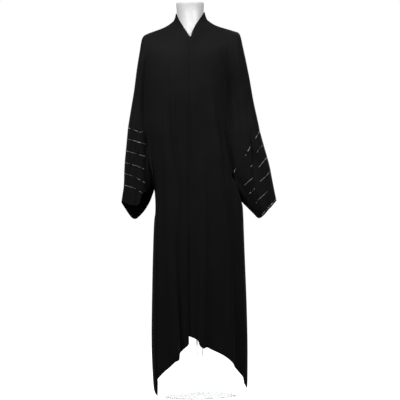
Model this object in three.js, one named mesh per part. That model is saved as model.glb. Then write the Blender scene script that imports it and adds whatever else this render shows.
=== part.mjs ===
import * as THREE from 'three';

// An open-front batwing kaftan, lapped and closed, on a limbless dress form with a pole and a round base.
// Millimetres, +Z up, the front faces -Y and +X is the viewer's right.
// The origin is the centre of the base's underside.

// Cloth
const WALL = 1.6;
const SEAM_NUDGE = 0.2;
const LAP_DROP = 2.4;
const LAP_CELLS = 4;

// Columns of the body, counted from the front left corner towards the viewer's right and round the back
const LEFT_FRONT_CELLS = 13;
const RIGHT_FRONT_CELLS = 13;
const FRONT_CELLS = LEFT_FRONT_CELLS + RIGHT_FRONT_CELLS;
const BACK_CELLS = 18;
const WING_CELLS = 12;
const EDGE_COLUMN = LEFT_FRONT_CELLS;
const RIGHT_CORNER = FRONT_CELLS;
const RIGHT_SIDE = RIGHT_CORNER + WING_CELLS / 2;
const RIGHT_BACK_CORNER = RIGHT_CORNER + WING_CELLS;
const LEFT_BACK_CORNER = RIGHT_BACK_CORNER + BACK_CELLS;
const LEFT_SIDE = LEFT_BACK_CORNER + WING_CELLS / 2;
const COLUMNS = LEFT_BACK_CORNER + WING_CELLS;

// Turns rows of numbers into objects with named columns
function table(columns, rows) {
  return rows.map((row) => Object.fromEntries(columns.map((name, i) => [name, row[i]])));
}

// Rings of the body from the neck edge down to the hips, with the heights at the front, back and sides,
// the reach of each side, the corners where the wings leave the body, and how full the wings are
const LEVELS = table(
  ['front_z', 'back_z', 'left_z', 'right_z', 'left_x', 'right_x', 'front_y', 'back_y',
    'left_corner', 'right_corner', 'corner_y', 'wing_y', 'round'],
  [
    [1442, 1538, 1537, 1540, -57, 57, 88, 67, -38, 38, 41, 3, 1.5],
    [1424, 1524, 1522, 1524, -60.5, 60.5, 93, 71, -42, 42, 44, 3, 1.6],
    [1407, 1510, 1507, 1508, -67.5, 67, 98, 76, -48, 48, 47, 3, 1.8],
    [1393, 1490, 1486, 1486, -98, 98, 103, 86, -72, 72, 50, 5, 2.0],
    [1378, 1467, 1471, 1471, -138, 140, 107, 94, -104, 104, 53, 7, 2.2],
    [1361, 1442, 1459, 1459, -174, 176, 111, 100, -132, 130, 60, 9, 2.4],
    [1340, 1412, 1442, 1447, -194.5, 195, 115, 104, -156, 144, 66, 11, 2.6],
    [1308, 1376, 1402, 1408, -203.5, 204, 118, 107, -172, 148, 67, 13, 2.6],
    [1268, 1326, 1356, 1366, -212.5, 212, 120, 109, -182, 146, 62, 15, 2.6],
    [1215, 1262, 1300, 1322, -222.5, 220, 121, 109, -188, 143, 55, 18, 2.7],
    [1160, 1192, 1238, 1272, -232, 228.5, 120, 108, -192, 140, 47, 20, 2.8],
    [1110, 1124, 1166, 1220, -246, 236, 119, 107, -194, 138, 46, 22, 2.9],
    [1062, 1062, 1088, 1168, -261, 244, 118, 106, -192, 138, 46, 22, 3.0],
    [1010, 1010, 828, 1116, -157.5, 254, 117, 105, -178, 141, 54, 22, 3.0],
    [955, 955, 806, 1062, -157.5, 263.5, 116, 105, -170, 147, 60, 22, 3.0],
    [898, 898, 784, 1062, -158, 263.5, 115, 104, -164, 153, 63, 20, 3.0],
    [840, 840, 758, 758, -159.5, 187.5, 114, 104, -158, 156, 66, 10, 3.0],
    [770, 770, 730, 728, -163.5, 188.5, 113, 103, -153, 159, 68, 10, 3.0],
    [700, 700, 700, 700, -168, 189, 112, 103, -151, 160, 70, 10, 3.0],
  ],
);
const BAND_LEVEL = 2;
const SHOULDER_LEVEL = 6;
const LEFT_SPLIT = 12;
const RIGHT_SPLIT = 15;
const HIP_LEVEL = LEVELS.length - 1;
const HIP_Z = 700;

// Rings of the skirt: how far each has gone from the hips to the hem, and the reach of the two sides
const SKIRT = table(['down', 'left_x', 'right_x'], [
  [0.17, -175.5, 190], [0.34, -181.5, 191.5], [0.5, -186.5, 192.5], [0.65, -190.5, 192.5],
  [0.78, -191.5, 191.5], [0.9, -189.5, 189], [0.97, -185.5, 187], [1, -174, 184.5],
]);
const HEM_ROW = HIP_LEVEL + SKIRT.length;

// How a ring climbs from the middle to its side: the power of the way across
const NECKLINE_CLIMB = { left: 1.35, right: 0.8 };
const SHOULDER_CLIMB = 1.5;
const ARMHOLE_CLIMB = 1.1;
const UNDERARM_CLIMB = 0.9;

// The wings fall away straight from their corners over the shoulders, and in a round below these rings
const STRAIGHT_TO = 4;
const ROUND_FROM = 8;
const TIP_CLIMB = { left: 1, right: 0.7 };

// Underarm points of the two armholes, where the lower half of each ring turns
const UNDERARM = {
  left: { x: -159, z: 850 },
  right: { x: 184, z: 779 },
};

// Front hem, a row for each column from corner to front edge: place, how far the fold stands out, height
const RIGHT_PANEL_HEM = table(['x', 'out', 'z'], [
  [-172, 0, 79], [-160, 5, 94], [-146, 8, 109], [-132, 9, 122], [-118, 11, 134], [-105, 14, 146],
  [-92, 17, 156], [-81, 17, 163], [-79, -3, 184], [-70, -9, 195], [-61, -8, 204], [-52, -3, 211],
  [-46, 3, 218], [-42, 6, 224],
]);
const LEFT_PANEL_HEM = table(['x', 'out', 'z'], [
  [-43, 0, 254], [-28, -2, 248], [-13, 0, 241], [-2, 4, 232], [2, 17, 218], [15, 19, 204],
  [27, 5, 208], [46, -3, 198], [68, -5, 187], [92, -1, 174], [114, 6, 158], [133, 12, 137],
  [140, -7, 119], [168, 0, 84],
]);

// Back hem, a row for each fold from the viewer's right to the left: place, stand, height
const BACK_HEM = table(['x', 'out', 'z'], [
  [168, 0, 86], [134, 13, 130], [98, -8, 170], [62, 14, 208], [20, -6, 246], [-20, 11, 262],
  [-60, -9, 222], [-96, 15, 176], [-134, -5, 134], [-172, 0, 84],
]);

// Side tips of the hem
const TIPS = {
  left: { x: -175, z: 11 },
  right: { x: 184, z: 33 },
};
const CORNER_HEM_Y = 62;
const HEM_INSET = 8;
const TIP_FLATTENING = 0.4;

// Folds of the hem start here, are full at the hem, and have grown by this power of the way between;
// at the hips a column has taken a share of its way to its place in the hem
const FOLDS_FROM_Z = 1180;
const FOLDS_FULL_Z = 200;
const FOLD_GROWTH = 1.5;
const HEM_PULL = 0.55;

// Long soft folds over the chest and skirt, a row for each: place at its top and foot, width and rise
const LONG_FOLDS = table(['top_x', 'top_z', 'foot_x', 'foot_z', 'width', 'rise', 'side'], [
  [-84, 1230, -64, 300, 15, 7, -1],
  [2, 1180, 6, 500, 13, 4, -1],
  [72, 1200, 122, 600, 14, 6, -1],
  [-118, 1150, -112, 300, 18, 5, -1],
  [-70, 1330, -92, 200, 20, 8, 1],
  [10, 1380, 4, 250, 22, 9, 1],
  [84, 1320, 100, 220, 19, 7, 1],
]);
const LONG_FOLD_ENDS = { before: 0.17, after: 0.35, fade: 3 };

// Cuffs, a row for each point of the ring: 0 front corner, 1 outer, 2 back corner, 3 underarm
const LEFT_CUFF = table(['at', 'x', 'y', 'z'], [
  [0, -213, -44, 820], [0.3, -226, -52, 780], [0.6, -262, -44, 780], [1, -295, -6, 793],
  [1.35, -285, 26, 768], [1.7, -262, 36, 732], [2, -242, 38, 721], [2.5, -207, 32, 753],
  [3, -176, 8, 806], [3.5, -186, -26, 831],
]);
const RIGHT_CUFF = table(['at', 'x', 'y', 'z'], [
  [0, 264, -38, 717], [0.35, 286, -52, 740], [0.7, 306, -38, 761], [1, 323, 0, 779],
  [1.4, 300, 40, 755], [2, 264, 40, 716], [2.6, 250, 22, 712], [3, 246, 0, 714], [3.5, 252, -20, 712],
]);
const SLEEVE_STEPS = 9;

// How far the outer edge of a sleeve stands out on its way to the cuff
const SLEEVE_SWAY = {
  left: table(['down', 'out'], [[0, 0], [0.5, 1], [0.8, -4], [1, 0]]),
  right: table(['down', 'out'], [[0, 0], [0.2, 2], [0.5, 6], [0.75, 2.5], [1, 0]]),
};
const SWAY_WIDTH = 0.6;

// Folds along the sleeves, a row for each: place round the ring, width, and push out or in
const LEFT_SLEEVE_FOLDS = table(['at', 'width', 'push'], [
  [0.32, 0.14, -7], [0.62, 0.16, 5], [1.6, 0.16, -8], [2.4, 0.2, 7],
]);
const RIGHT_SLEEVE_FOLDS = table(['at', 'width', 'push'], [
  [0.46, 0.13, -20], [0.2, 0.14, 9], [0.78, 0.14, 5], [1.5, 0.18, -9], [2.4, 0.2, 7],
]);
const SLEEVE_FOLD_ONSET = 2.5;
const SLEEVE_FOLD_LOSS = 0.35;

// Dress form
const NECK_RADIUS = 55.4;
const NECK_WAIST_RADIUS = 54.2;
const NECK_Y = 9;
const NECK_TOP_Z = 1579;
const NECK_WAIST_Z = 1552;
const REST_GAP = 0.6;

// Gap under the cloth at each ring that the form's shoulders follow; the lap needs more room
const SEATS = table(['row', 'gap'], [
  [0, 2.2], [1, 1.4], [2, REST_GAP], [3, REST_GAP], [4, 0.9], [5, 0.95], [6, 1.2],
]);
const LAP_ROOM = LAP_DROP + 1.5;
const LAP_ROOM_COLUMNS = 5;
const SHOULDER_HALF_WIDTH = 190;
const SHOULDER_HALF_DEPTH = 105;
const NECK_ROOT_STEPS = [0.35, 0.7];
const NECK_ROOT_HOLLOW = { depth: 5, from: 20, over: 60 };
const FORM_SECTIONS = table(['side_z', 'middle_z', 'half_width', 'front', 'back'], [
  [1408, 1304, 182, 104, 93], [1372, 1272, 166, 104, 92], [1330, 1236, 156, 104, 90],
  [1280, 1196, 148, 100, 86], [1220, 1152, 138, 92, 80], [1150, 1104, 128, 84, 75],
  [1080, 1060, 124, 82, 75], [1005, 1000, 134, 86, 84], [930, 930, 146, 90, 92], [865, 865, 148, 90, 92],
  [815, 815, 144, 86, 88], [800, 800, 134, 78, 80],
]);
const FORM_FLOOR_Z = 800;

// Pole and base
const POLE_RADIUS = 12;
const BASE_RADIUS = 140;
const BASE_HEIGHT = 8;
const BASE_BEVEL = 3;
const REST_SPLIT = 0.3;

// Colours and finishes
const FINISHES = {
  cloth: { color: 0x1b1a1d, roughness: 0.85, metalness: 0 },
  band_cloth: { color: 0x1d1d1e, roughness: 0.8, metalness: 0 },
  form: { color: 0xf3f3f1, roughness: 0.25, metalness: 0 },
  stand: { color: 0xe6eef0, roughness: 0.1, metalness: 0 },
};

const mix = THREE.MathUtils.lerp;
const clamp = THREE.MathUtils.clamp;
const ease = (t) => THREE.MathUtils.smoothstep(t, 0, 1);
const bell = (t) => Math.exp(-t * t);

// Side of the body that a column belongs to, and its place round the wing: 0 front, 1 side, 2 back
function wingPlace(column) {
  if (column > RIGHT_CORNER && column < RIGHT_BACK_CORNER) {
    return { side: 'right', turn: (2 * (column - RIGHT_CORNER)) / WING_CELLS };
  }
  if (column > LEFT_BACK_CORNER && column < COLUMNS) {
    return { side: 'left', turn: (2 * (COLUMNS - column)) / WING_CELLS };
  }
  return null;
}

// Line of the front edge of the upper panel, from the neck point to the hem
const FRONT_EDGE = {
  top_x: -6,
  top_z: LEVELS[0].front_z,
  foot_x: RIGHT_PANEL_HEM[EDGE_COLUMN].x,
  foot_z: RIGHT_PANEL_HEM[EDGE_COLUMN].z,
};
function frontEdgeX(z) {
  const down = (FRONT_EDGE.top_z - z) / (FRONT_EDGE.top_z - FRONT_EDGE.foot_z);
  return mix(FRONT_EDGE.top_x, FRONT_EDGE.foot_x, clamp(down, 0, 1));
}

// Value of a table's column at a way down between its rows
function along(rows, name, down) {
  const i = Math.max(rows.findIndex((row) => row.down >= down), 1);
  const [a, b] = [rows[i - 1], rows[i]];
  return mix(a[name], b[name], (down - a.down) / (b.down - a.down));
}

// Hem data of a column of the body's flat front or back
function hemStation(column, underPanel) {
  if (column <= EDGE_COLUMN && !underPanel) {
    return RIGHT_PANEL_HEM[column];
  }
  if (column <= RIGHT_CORNER) {
    return LEFT_PANEL_HEM[column - EDGE_COLUMN];
  }
  const place = ((column - RIGHT_BACK_CORNER) / BACK_CELLS) * (BACK_HEM.length - 1);
  const i = Math.min(Math.floor(place), BACK_HEM.length - 2);
  const t = ease(place - i);
  const [a, b] = [BACK_HEM[i], BACK_HEM[i + 1]];
  return { x: mix(a.x, b.x, place - i), out: mix(a.out, b.out, t), z: mix(a.z, b.z, place - i) };
}

// Evenly spread place across the front or back, between the two corners of a ring
function evenX(column, level, z) {
  if (column <= EDGE_COLUMN) {
    return mix(level.left_corner, frontEdgeX(z), column / LEFT_FRONT_CELLS);
  }
  if (column <= RIGHT_CORNER) {
    return mix(frontEdgeX(z), level.right_corner, (column - EDGE_COLUMN) / RIGHT_FRONT_CELLS);
  }
  return mix(level.right_corner, level.left_corner, (column - RIGHT_BACK_CORNER) / BACK_CELLS);
}

// Depth of the body's front or back at a place across it
function coreDepth(x, level, reach) {
  const middle = (level.left_corner + level.right_corner) / 2;
  const half = (level.right_corner - level.left_corner) / 2;
  const away = Math.min(Math.abs((x - middle) / half), 1);
  return level.corner_y + (reach - level.corner_y) * (1 - away ** level.round);
}

// Rise of the long soft folds at a place on the front (-1) or back (1)
function foldRise(x, z, facing) {
  let rise = 0;
  for (const fold of LONG_FOLDS) {
    if (fold.side === facing) {
      const down = (fold.top_z - z) / (fold.top_z - fold.foot_z);
      const { before, after, fade } = LONG_FOLD_ENDS;
      const centre = mix(fold.top_x, fold.foot_x, clamp(down, -before, 1 + after));
      const strength = ease((down + before) * fade) * ease((1 + after - down) * fade);
      rise += fold.rise * strength * bell((x - centre) / fold.width);
    }
  }
  return rise;
}

// Height of a point above the hips, where the rings climb from the middle to the shoulders
function climb(x, low, high, reach, flatTo, power) {
  const away = clamp((Math.abs(x) - flatTo) / (Math.abs(reach) - flatTo), 0, 1);
  return mix(low, high, away ** power);
}

// Point of the body above the hips
function upperPoint(column, row, lowerLip) {
  const level = LEVELS[row];
  const wing = wingPlace(column);
  const isFront = column <= RIGHT_CORNER || (wing && wing.turn <= 1);
  const facing = isFront ? -1 : 1;
  const low = isFront ? level.front_z : level.back_z;
  if (wing) {
    return wingPoint(wing, row, lowerLip, low, facing);
  }
  const x = evenX(column, level, low);
  const reach = isFront ? level.front_y : level.back_y;
  const sideIsLeft = x < 0;
  const split = sideIsLeft ? LEFT_SPLIT : RIGHT_SPLIT;
  const done = clamp((row - SHOULDER_LEVEL) / (split - SHOULDER_LEVEL), 0, 1);
  const outer = sideIsLeft ? level.left_x : level.right_x;
  const corner = Math.abs(sideIsLeft ? level.left_corner : level.right_corner);
  const high = sideIsLeft ? level.left_z : level.right_z;
  const power = row <= BAND_LEVEL && isFront ? NECKLINE_CLIMB[sideIsLeft ? 'left' : 'right'] : SHOULDER_CLIMB;
  const z = row >= split ? low : climb(x, low, high, outer, corner * done, power);
  const g = growth(z);
  const station = hemStation(column, false);
  const foldedX = mix(x, station.x, g * HEM_PULL);
  const depth = coreDepth(foldedX, level, reach) + station.out * g + foldRise(foldedX, z, facing);
  return new THREE.Vector3(foldedX, facing * depth, z);
}

// Point of a wing above the hips; the lower lip is the half of the armhole under the sleeve
function wingPoint(wing, row, lowerLip, low, facing) {
  const level = LEVELS[row];
  const isLeft = wing.side === 'left';
  const split = isLeft ? LEFT_SPLIT : RIGHT_SPLIT;
  const corner = isLeft ? level.left_corner : level.right_corner;
  const across = Math.sin((Math.PI * wing.turn) / 2);
  const inward = Math.abs(Math.cos((Math.PI * wing.turn) / 2));
  const below = row > split || lowerLip;
  if (row === split && lowerLip) {
    const under = UNDERARM[wing.side];
    const x = mix(corner, under.x, across);
    const depth = level.corner_y * inward;
    return new THREE.Vector3(x, facing * depth, mix(low, under.z, across ** UNDERARM_CLIMB));
  }
  const outer = isLeft ? level.left_x : level.right_x;
  const high = isLeft ? level.left_z : level.right_z;
  const bulge = Math.abs(Math.sin(Math.PI * wing.turn)) * level.wing_y;
  const x = mix(corner, outer, across);
  const straight = clamp((ROUND_FROM - row) / (ROUND_FROM - STRAIGHT_TO), 0, 1);
  const depth = level.corner_y * mix(inward, 1 - across, straight) + bulge;
  if (below) {
    return new THREE.Vector3(x, facing * depth, mix(low, high, across ** UNDERARM_CLIMB));
  }
  const done = clamp((row - SHOULDER_LEVEL) / (split - SHOULDER_LEVEL), 0, 1);
  const isNeckline = row <= BAND_LEVEL && facing < 0;
  const power = isNeckline ? NECKLINE_CLIMB[wing.side] : mix(SHOULDER_CLIMB, ARMHOLE_CLIMB, done);
  return new THREE.Vector3(x, facing * depth, climb(x, low, high, outer, Math.abs(corner) * done, power));
}

// How far the folds of the hem have grown at a height
function growth(z) {
  return clamp((FOLDS_FROM_Z - z) / (FOLDS_FROM_Z - FOLDS_FULL_Z), 0, 1) ** FOLD_GROWTH;
}

// Point of the skirt from the hips to the hem
function skirtPoint(column, row, underPanel) {
  const level = LEVELS[HIP_LEVEL];
  const ring = SKIRT[row - HIP_LEVEL - 1];
  const t = ring.down;
  const wing = wingPlace(column);
  const isFront = column <= RIGHT_CORNER || (wing && wing.turn <= 1);
  const facing = isFront ? -1 : 1;
  if (wing) {
    const isLeft = wing.side === 'left';
    const tip = TIPS[wing.side];
    const [frontCorner, backCorner] = isLeft ? [0, LEFT_BACK_CORNER] : [RIGHT_CORNER, RIGHT_BACK_CORNER];
    const station = hemStation(isFront ? frontCorner : backCorner, false);
    const across = Math.sin((Math.PI * wing.turn) / 2);
    const inward = Math.abs(Math.cos((Math.PI * wing.turn) / 2));
    const bulge = Math.abs(Math.sin(Math.PI * wing.turn)) * level.wing_y;
    const corner = mix(isLeft ? level.left_corner : level.right_corner, station.x, t);
    const x = mix(corner, isLeft ? ring.left_x : ring.right_x, across);
    const depth = mix(level.corner_y, CORNER_HEM_Y, t) * inward + bulge * (1 - TIP_FLATTENING * t);
    return new THREE.Vector3(x, facing * depth, mix(HIP_Z, mix(station.z, tip.z, across ** TIP_CLIMB[wing.side]), t));
  }
  const station = hemStation(column, underPanel);
  const z = mix(HIP_Z, station.z, t);
  const even = evenX(column, level, z);
  const g = growth(z);
  const reach = isFront ? level.front_y : level.back_y;
  const start = mix(even, station.x, growth(HIP_Z) * HEM_PULL);
  const x = mix(start, station.x, t);
  const hemLevel = {
    ...level,
    left_corner: mix(level.left_corner, hemStation(0, false).x, t),
    right_corner: mix(level.right_corner, hemStation(RIGHT_CORNER, false).x, t),
    corner_y: mix(level.corner_y, CORNER_HEM_Y, t),
  };
  const depth = coreDepth(x, hemLevel, reach - HEM_INSET * t) + station.out * g + foldRise(x, z, facing);
  return new THREE.Vector3(x, facing * depth, z);
}

// The whole cloth as one sheet with shared points, each cell marked with the piece it is cut in
class Sheet {
  constructor() {
    this.points = [];
    this.names = new Map();
    this.cells = [];
  }

  point(name, make) {
    if (!this.names.has(name)) {
      this.names.set(name, this.points.length);
      this.points.push(make());
    }
    return this.names.get(name);
  }

  cell(piece, corners) {
    this.cells.push({ piece, corners });
  }

  // Mean direction that the faces round each point look
  normals() {
    const sums = this.points.map(() => new THREE.Vector3());
    for (const { corners } of this.cells) {
      const [a, b, c, d] = corners.map((i) => this.points[i]);
      const face = new THREE.Vector3().crossVectors(c.clone().sub(a), d.clone().sub(b)).normalize();
      corners.forEach((i) => sums[i].add(face));
    }
    return sums.map((sum) => sum.normalize());
  }
}

const sheet = new Sheet();

// Name of the body's point at a column and row; armholes and the two front edges have points of their own
function bodyPoint(column, row, options = {}) {
  const c = column % COLUMNS;
  const wing = wingPlace(c);
  const split = wing && (wing.side === 'left' ? LEFT_SPLIT : RIGHT_SPLIT);
  const lowerLip = Boolean(wing) && row === split && options.below === true;
  const underPanel = c === EDGE_COLUMN && options.under === true;
  const name = `${c}/${row}${lowerLip ? '/lower' : ''}${underPanel ? '/under' : ''}`;
  return sheet.point(name, () => (
    row <= HIP_LEVEL ? upperPoint(c, row, lowerLip) : skirtPoint(c, row, underPanel)));
}

function bodyPiece(column, row) {
  if (row < BAND_LEVEL) {
    return 'neck_band';
  }
  if (column >= RIGHT_SIDE && column < LEFT_SIDE) {
    return 'back';
  }
  return column >= EDGE_COLUMN && column < RIGHT_SIDE ? 'front_left' : 'front_right';
}

for (let row = 0; row < HEM_ROW; row += 1) {
  for (let column = 0; column < COLUMNS; column += 1) {
    const piece = bodyPiece(column, row);
    const under = piece === 'front_left' || (piece === 'neck_band' && column === EDGE_COLUMN);
    sheet.cell(piece, [
      bodyPoint(column, row, { below: true, under }),
      bodyPoint(column, row + 1, { below: false, under }),
      bodyPoint(column + 1, row + 1, { below: false, under: under && column + 1 !== EDGE_COLUMN }),
      bodyPoint(column + 1, row, { below: true, under: under && column + 1 !== EDGE_COLUMN }),
    ]);
  }
}

// Ring of points round an armhole: front corner, outer half, back corner, then the half under the arm
function armholeRing(side) {
  const row = side === 'left' ? LEFT_SPLIT : RIGHT_SPLIT;
  const first = side === 'left' ? COLUMNS : RIGHT_CORNER;
  const step = side === 'left' ? -1 : 1;
  const ring = [];
  for (let i = 0; i < WING_CELLS; i += 1) {
    ring.push(bodyPoint(first + step * i, row, { below: false }));
  }
  for (let i = WING_CELLS; i > 0; i -= 1) {
    ring.push(bodyPoint(first + step * i, row, { below: true }));
  }
  return ring;
}

// Smooth closed ring through the points of a cuff
function cuffCurve(cuff) {
  const loop = [...cuff, ...cuff.map((p) => ({ ...p, at: p.at + 4 }))];
  return (at) => {
    const i = loop.findIndex((p, k) => k > 0 && p.at > at + (at < cuff[0].at ? 4 : 0)) - 1;
    const n = cuff.length;
    const pick = (k) => loop[(k + n) % n];
    const [p0, p1, p2, p3] = [pick(i - 1), pick(i), pick(i + 1), pick(i + 2)];
    const t = (at - loop[i].at) / (loop[i + 1].at - loop[i].at);
    const spline = (name) => {
      const [a, b, c, d] = [p0[name], p1[name], p2[name], p3[name]];
      const square = 2 * a - 5 * b + 4 * c - d;
      const cube = 3 * b - a - 3 * c + d;
      return (2 * b + (c - a) * t + square * t ** 2 + cube * t ** 3) / 2;
    };
    return new THREE.Vector3(spline('x'), spline('y'), spline('z'));
  };
}

// Sleeve band from the armhole ring to the cuff
function addSleeve(side, cuff, folds) {
  const piece = `sleeve_${side}`;
  const ring = armholeRing(side);
  const curve = cuffCurve(cuff);
  const starts = ring.map((i) => sheet.points[i].clone());
  const hub = starts.reduce((sum, p) => sum.add(p), new THREE.Vector3()).divideScalar(starts.length);
  const rows = [ring];
  for (let step = 1; step <= SLEEVE_STEPS; step += 1) {
    const t = step / SLEEVE_STEPS;
    rows.push(starts.map((start, i) => sheet.point(`${piece}/${step}/${i}`, () => {
      const at = (4 * i) / starts.length;
      const end = curve(at);
      const spot = start.clone().lerp(end, t);
      const facing = Math.sign(spot.y - hub.y);
      const strength = ease(t * SLEEVE_FOLD_ONSET) * (1 - SLEEVE_FOLD_LOSS * t);
      for (const fold of folds) {
        spot.y += facing * fold.push * strength * bell((at - fold.at) / fold.width);
      }
      spot.x += Math.sign(spot.x) * along(SLEEVE_SWAY[side], 'out', t) * bell((at - 1) / SWAY_WIDTH);
      return spot;
    })));
  }
  for (let step = 0; step < SLEEVE_STEPS; step += 1) {
    for (let i = 0; i < ring.length; i += 1) {
      const j = (i + 1) % ring.length;
      const [a, b, c, d] = [rows[step][i], rows[step][j], rows[step + 1][j], rows[step + 1][i]];
      sheet.cell(piece, side === 'left' ? [a, b, c, d] : [a, d, c, b]);
    }
  }
}

addSleeve('left', LEFT_CUFF, LEFT_SLEEVE_FOLDS);
addSleeve('right', RIGHT_CUFF, RIGHT_SLEEVE_FOLDS);

const normals = sheet.normals();

// The front's left panel runs on under the other one, so its points there lie deeper
function lapPoint(index, column) {
  const drop = column <= EDGE_COLUMN ? LAP_DROP : 0;
  return sheet.points[index].clone().addScaledVector(normals[index], -drop);
}

function geometryFrom(vertices, triangles) {
  const geometry = new THREE.BufferGeometry();
  const numbers = vertices.flatMap((v) => v.toArray());
  geometry.setAttribute('position', new THREE.Float32BufferAttribute(numbers, 3));
  geometry.setIndex(triangles);
  geometry.computeVertexNormals();
  return geometry;
}

// Closed wall round a set of cells: an outer face, an inner face and a strip along every free edge
function wallGeometry(cells, placeOf) {
  const inward = new Map();
  const uses = new Map();
  for (const cell of cells) {
    const centre = cell.reduce((sum, i) => sum.add(placeOf(i)), new THREE.Vector3()).divideScalar(4);
    cell.forEach((i, k) => {
      const pull = inward.get(i) ?? new THREE.Vector3();
      inward.set(i, pull.add(centre.clone().sub(placeOf(i)).normalize()));
      const j = cell[(k + 1) % 4];
      uses.set(`${i},${j}`, [i, j]);
    });
  }
  const freeEdges = [...uses.values()].filter(([i, j]) => !uses.has(`${j},${i}`));
  const onEdge = new Set(freeEdges.flat());
  const ids = [...inward.keys()];
  const slot = new Map(ids.map((id, k) => [id, k]));
  const count = ids.length;
  const spots = ids.map((id) => {
    const spot = placeOf(id).clone();
    return onEdge.has(id) ? spot.addScaledVector(inward.get(id).normalize(), SEAM_NUDGE) : spot;
  });
  const vertices = [1, -1].flatMap((face) => ids.map((id, k) => (
    spots[k].clone().addScaledVector(normals[id], (face * WALL) / 2))));
  const triangles = [];
  for (const cell of cells) {
    const [a, b, c, d] = cell.map((id) => slot.get(id));
    triangles.push(a, b, c, a, c, d);
    triangles.push(a + count, c + count, b + count, a + count, d + count, c + count);
  }
  for (const [i, j] of freeEdges) {
    const [a, b] = [slot.get(i), slot.get(j)];
    triangles.push(a, a + count, b, b, a + count, b + count);
  }
  return geometryFrom(vertices, triangles);
}

function solid(name, geometry, finish) {
  const mesh = new THREE.Mesh(geometry, new THREE.MeshStandardMaterial(FINISHES[finish]));
  mesh.name = name;
  return mesh;
}

// Cloth piece cut from the cells that carry its name
function clothPiece(name, finish) {
  const cells = sheet.cells.filter((cell) => cell.piece === name).map((cell) => cell.corners);
  return solid(name, wallGeometry(cells, (i) => sheet.points[i]), finish);
}

// Left front with the part of it that lies under the other panel
function leftFront() {
  const cells = sheet.cells.filter((cell) => cell.piece === 'front_left').map((cell) => cell.corners);
  const deep = new Map();
  const firstUnder = EDGE_COLUMN - LAP_CELLS;
  for (let row = BAND_LEVEL; row < HEM_ROW - 1; row += 1) {
    for (let column = firstUnder; column < EDGE_COLUMN; column += 1) {
      const corners = [[column, row], [column, row + 1], [column + 1, row + 1], [column + 1, row]];
      const cell = corners.map(([c, r]) => bodyPoint(c, r, { under: c === EDGE_COLUMN }));
      cell.forEach((i, k) => deep.set(i, corners[k][0]));
      cells.push(cell);
    }
  }
  for (let row = BAND_LEVEL; row <= HEM_ROW; row += 1) {
    deep.set(bodyPoint(EDGE_COLUMN, row, { under: true }), EDGE_COLUMN);
  }
  const place = (i) => (deep.has(i) ? lapPoint(i, deep.get(i)) : sheet.points[i]);
  return solid('front_left', wallGeometry(cells, place), 'cloth');
}

// Dress form: neck, shoulders that carry the cloth, and torso, as rings with every second column
function dressForm() {
  const rings = [];
  const ringOf = (make) => Array.from({ length: COLUMNS / 2 }, (_, k) => make(2 * k));
  const shoulder = (row, gap) => ringOf((column) => {
    const i = bodyPoint(column, row, {});
    return sheet.points[i].clone().addScaledVector(normals[i], -(WALL / 2 + gap));
  });
  const seats = SEATS.map(({ row, gap }) => {
    const ring = shoulder(row, gap);
    const frontLap = Math.round(EDGE_COLUMN / 2);
    return ring.map((spot, k) => {
      const away = Math.abs(k - frontLap) / LAP_ROOM_COLUMNS;
      const i = bodyPoint(2 * k, row, {});
      return spot.addScaledVector(normals[i], -LAP_ROOM * bell(away));
    });
  });
  const angles = seats[seats.length - 1].map((spot) => (
    Math.atan2(spot.x / SHOULDER_HALF_WIDTH, -spot.y / SHOULDER_HALF_DEPTH)));
  const round = (radius, z) => angles.map((a) => (
    new THREE.Vector3(radius * Math.sin(a), NECK_Y - radius * Math.cos(a), z)));
  rings.push(round(NECK_RADIUS, NECK_TOP_Z));
  rings.push(round(NECK_WAIST_RADIUS, NECK_WAIST_Z));
  for (const t of NECK_ROOT_STEPS) {
    rings.push(seats[0].map((spot, k) => {
      const from = rings[1][k];
      const bend = from.clone().lerp(spot, t);
      bend.z = mix(from.z, spot.z, t);
      const { depth, from: start, over } = NECK_ROOT_HOLLOW;
      bend.y += 4 * t * (1 - t) * depth * clamp((from.z - spot.z - start) / over, 0, 1);
      return bend;
    }));
  }
  rings.push(...seats);
  for (const section of FORM_SECTIONS) {
    rings.push(angles.map((a) => {
      const depth = Math.cos(a) > 0 ? section.front : section.back;
      const z = mix(section.middle_z, section.side_z, Math.sin(a) ** 2);
      return new THREE.Vector3(section.half_width * Math.sin(a), -depth * Math.cos(a), z);
    }));
  }
  const n = COLUMNS / 2;
  const vertices = rings.flat();
  const top = vertices.push(new THREE.Vector3(0, NECK_Y, NECK_TOP_Z)) - 1;
  const bottom = vertices.push(new THREE.Vector3(0, 0, FORM_FLOOR_Z)) - 1;
  const triangles = [];
  for (let k = 0; k < n; k += 1) {
    const j = (k + 1) % n;
    triangles.push(top, k, j);
    for (let r = 0; r < rings.length - 1; r += 1) {
      const [a, b, c, d] = [r * n + k, r * n + j, (r + 1) * n + j, (r + 1) * n + k];
      triangles.push(a, d, c, a, c, b);
    }
    const last = (rings.length - 1) * n;
    triangles.push(bottom, last + j, last + k);
  }
  return solid('dress_form', geometryFrom(vertices, triangles), 'form');
}

// Turned piece from a profile of radius and height that starts and ends on the axis
function turned(name, profile, segments) {
  const geometry = new THREE.LatheGeometry(profile.map(([r, z]) => new THREE.Vector2(r, z)), segments);
  geometry.rotateX(Math.PI / 2);
  return solid(name, geometry, 'stand');
}

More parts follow.
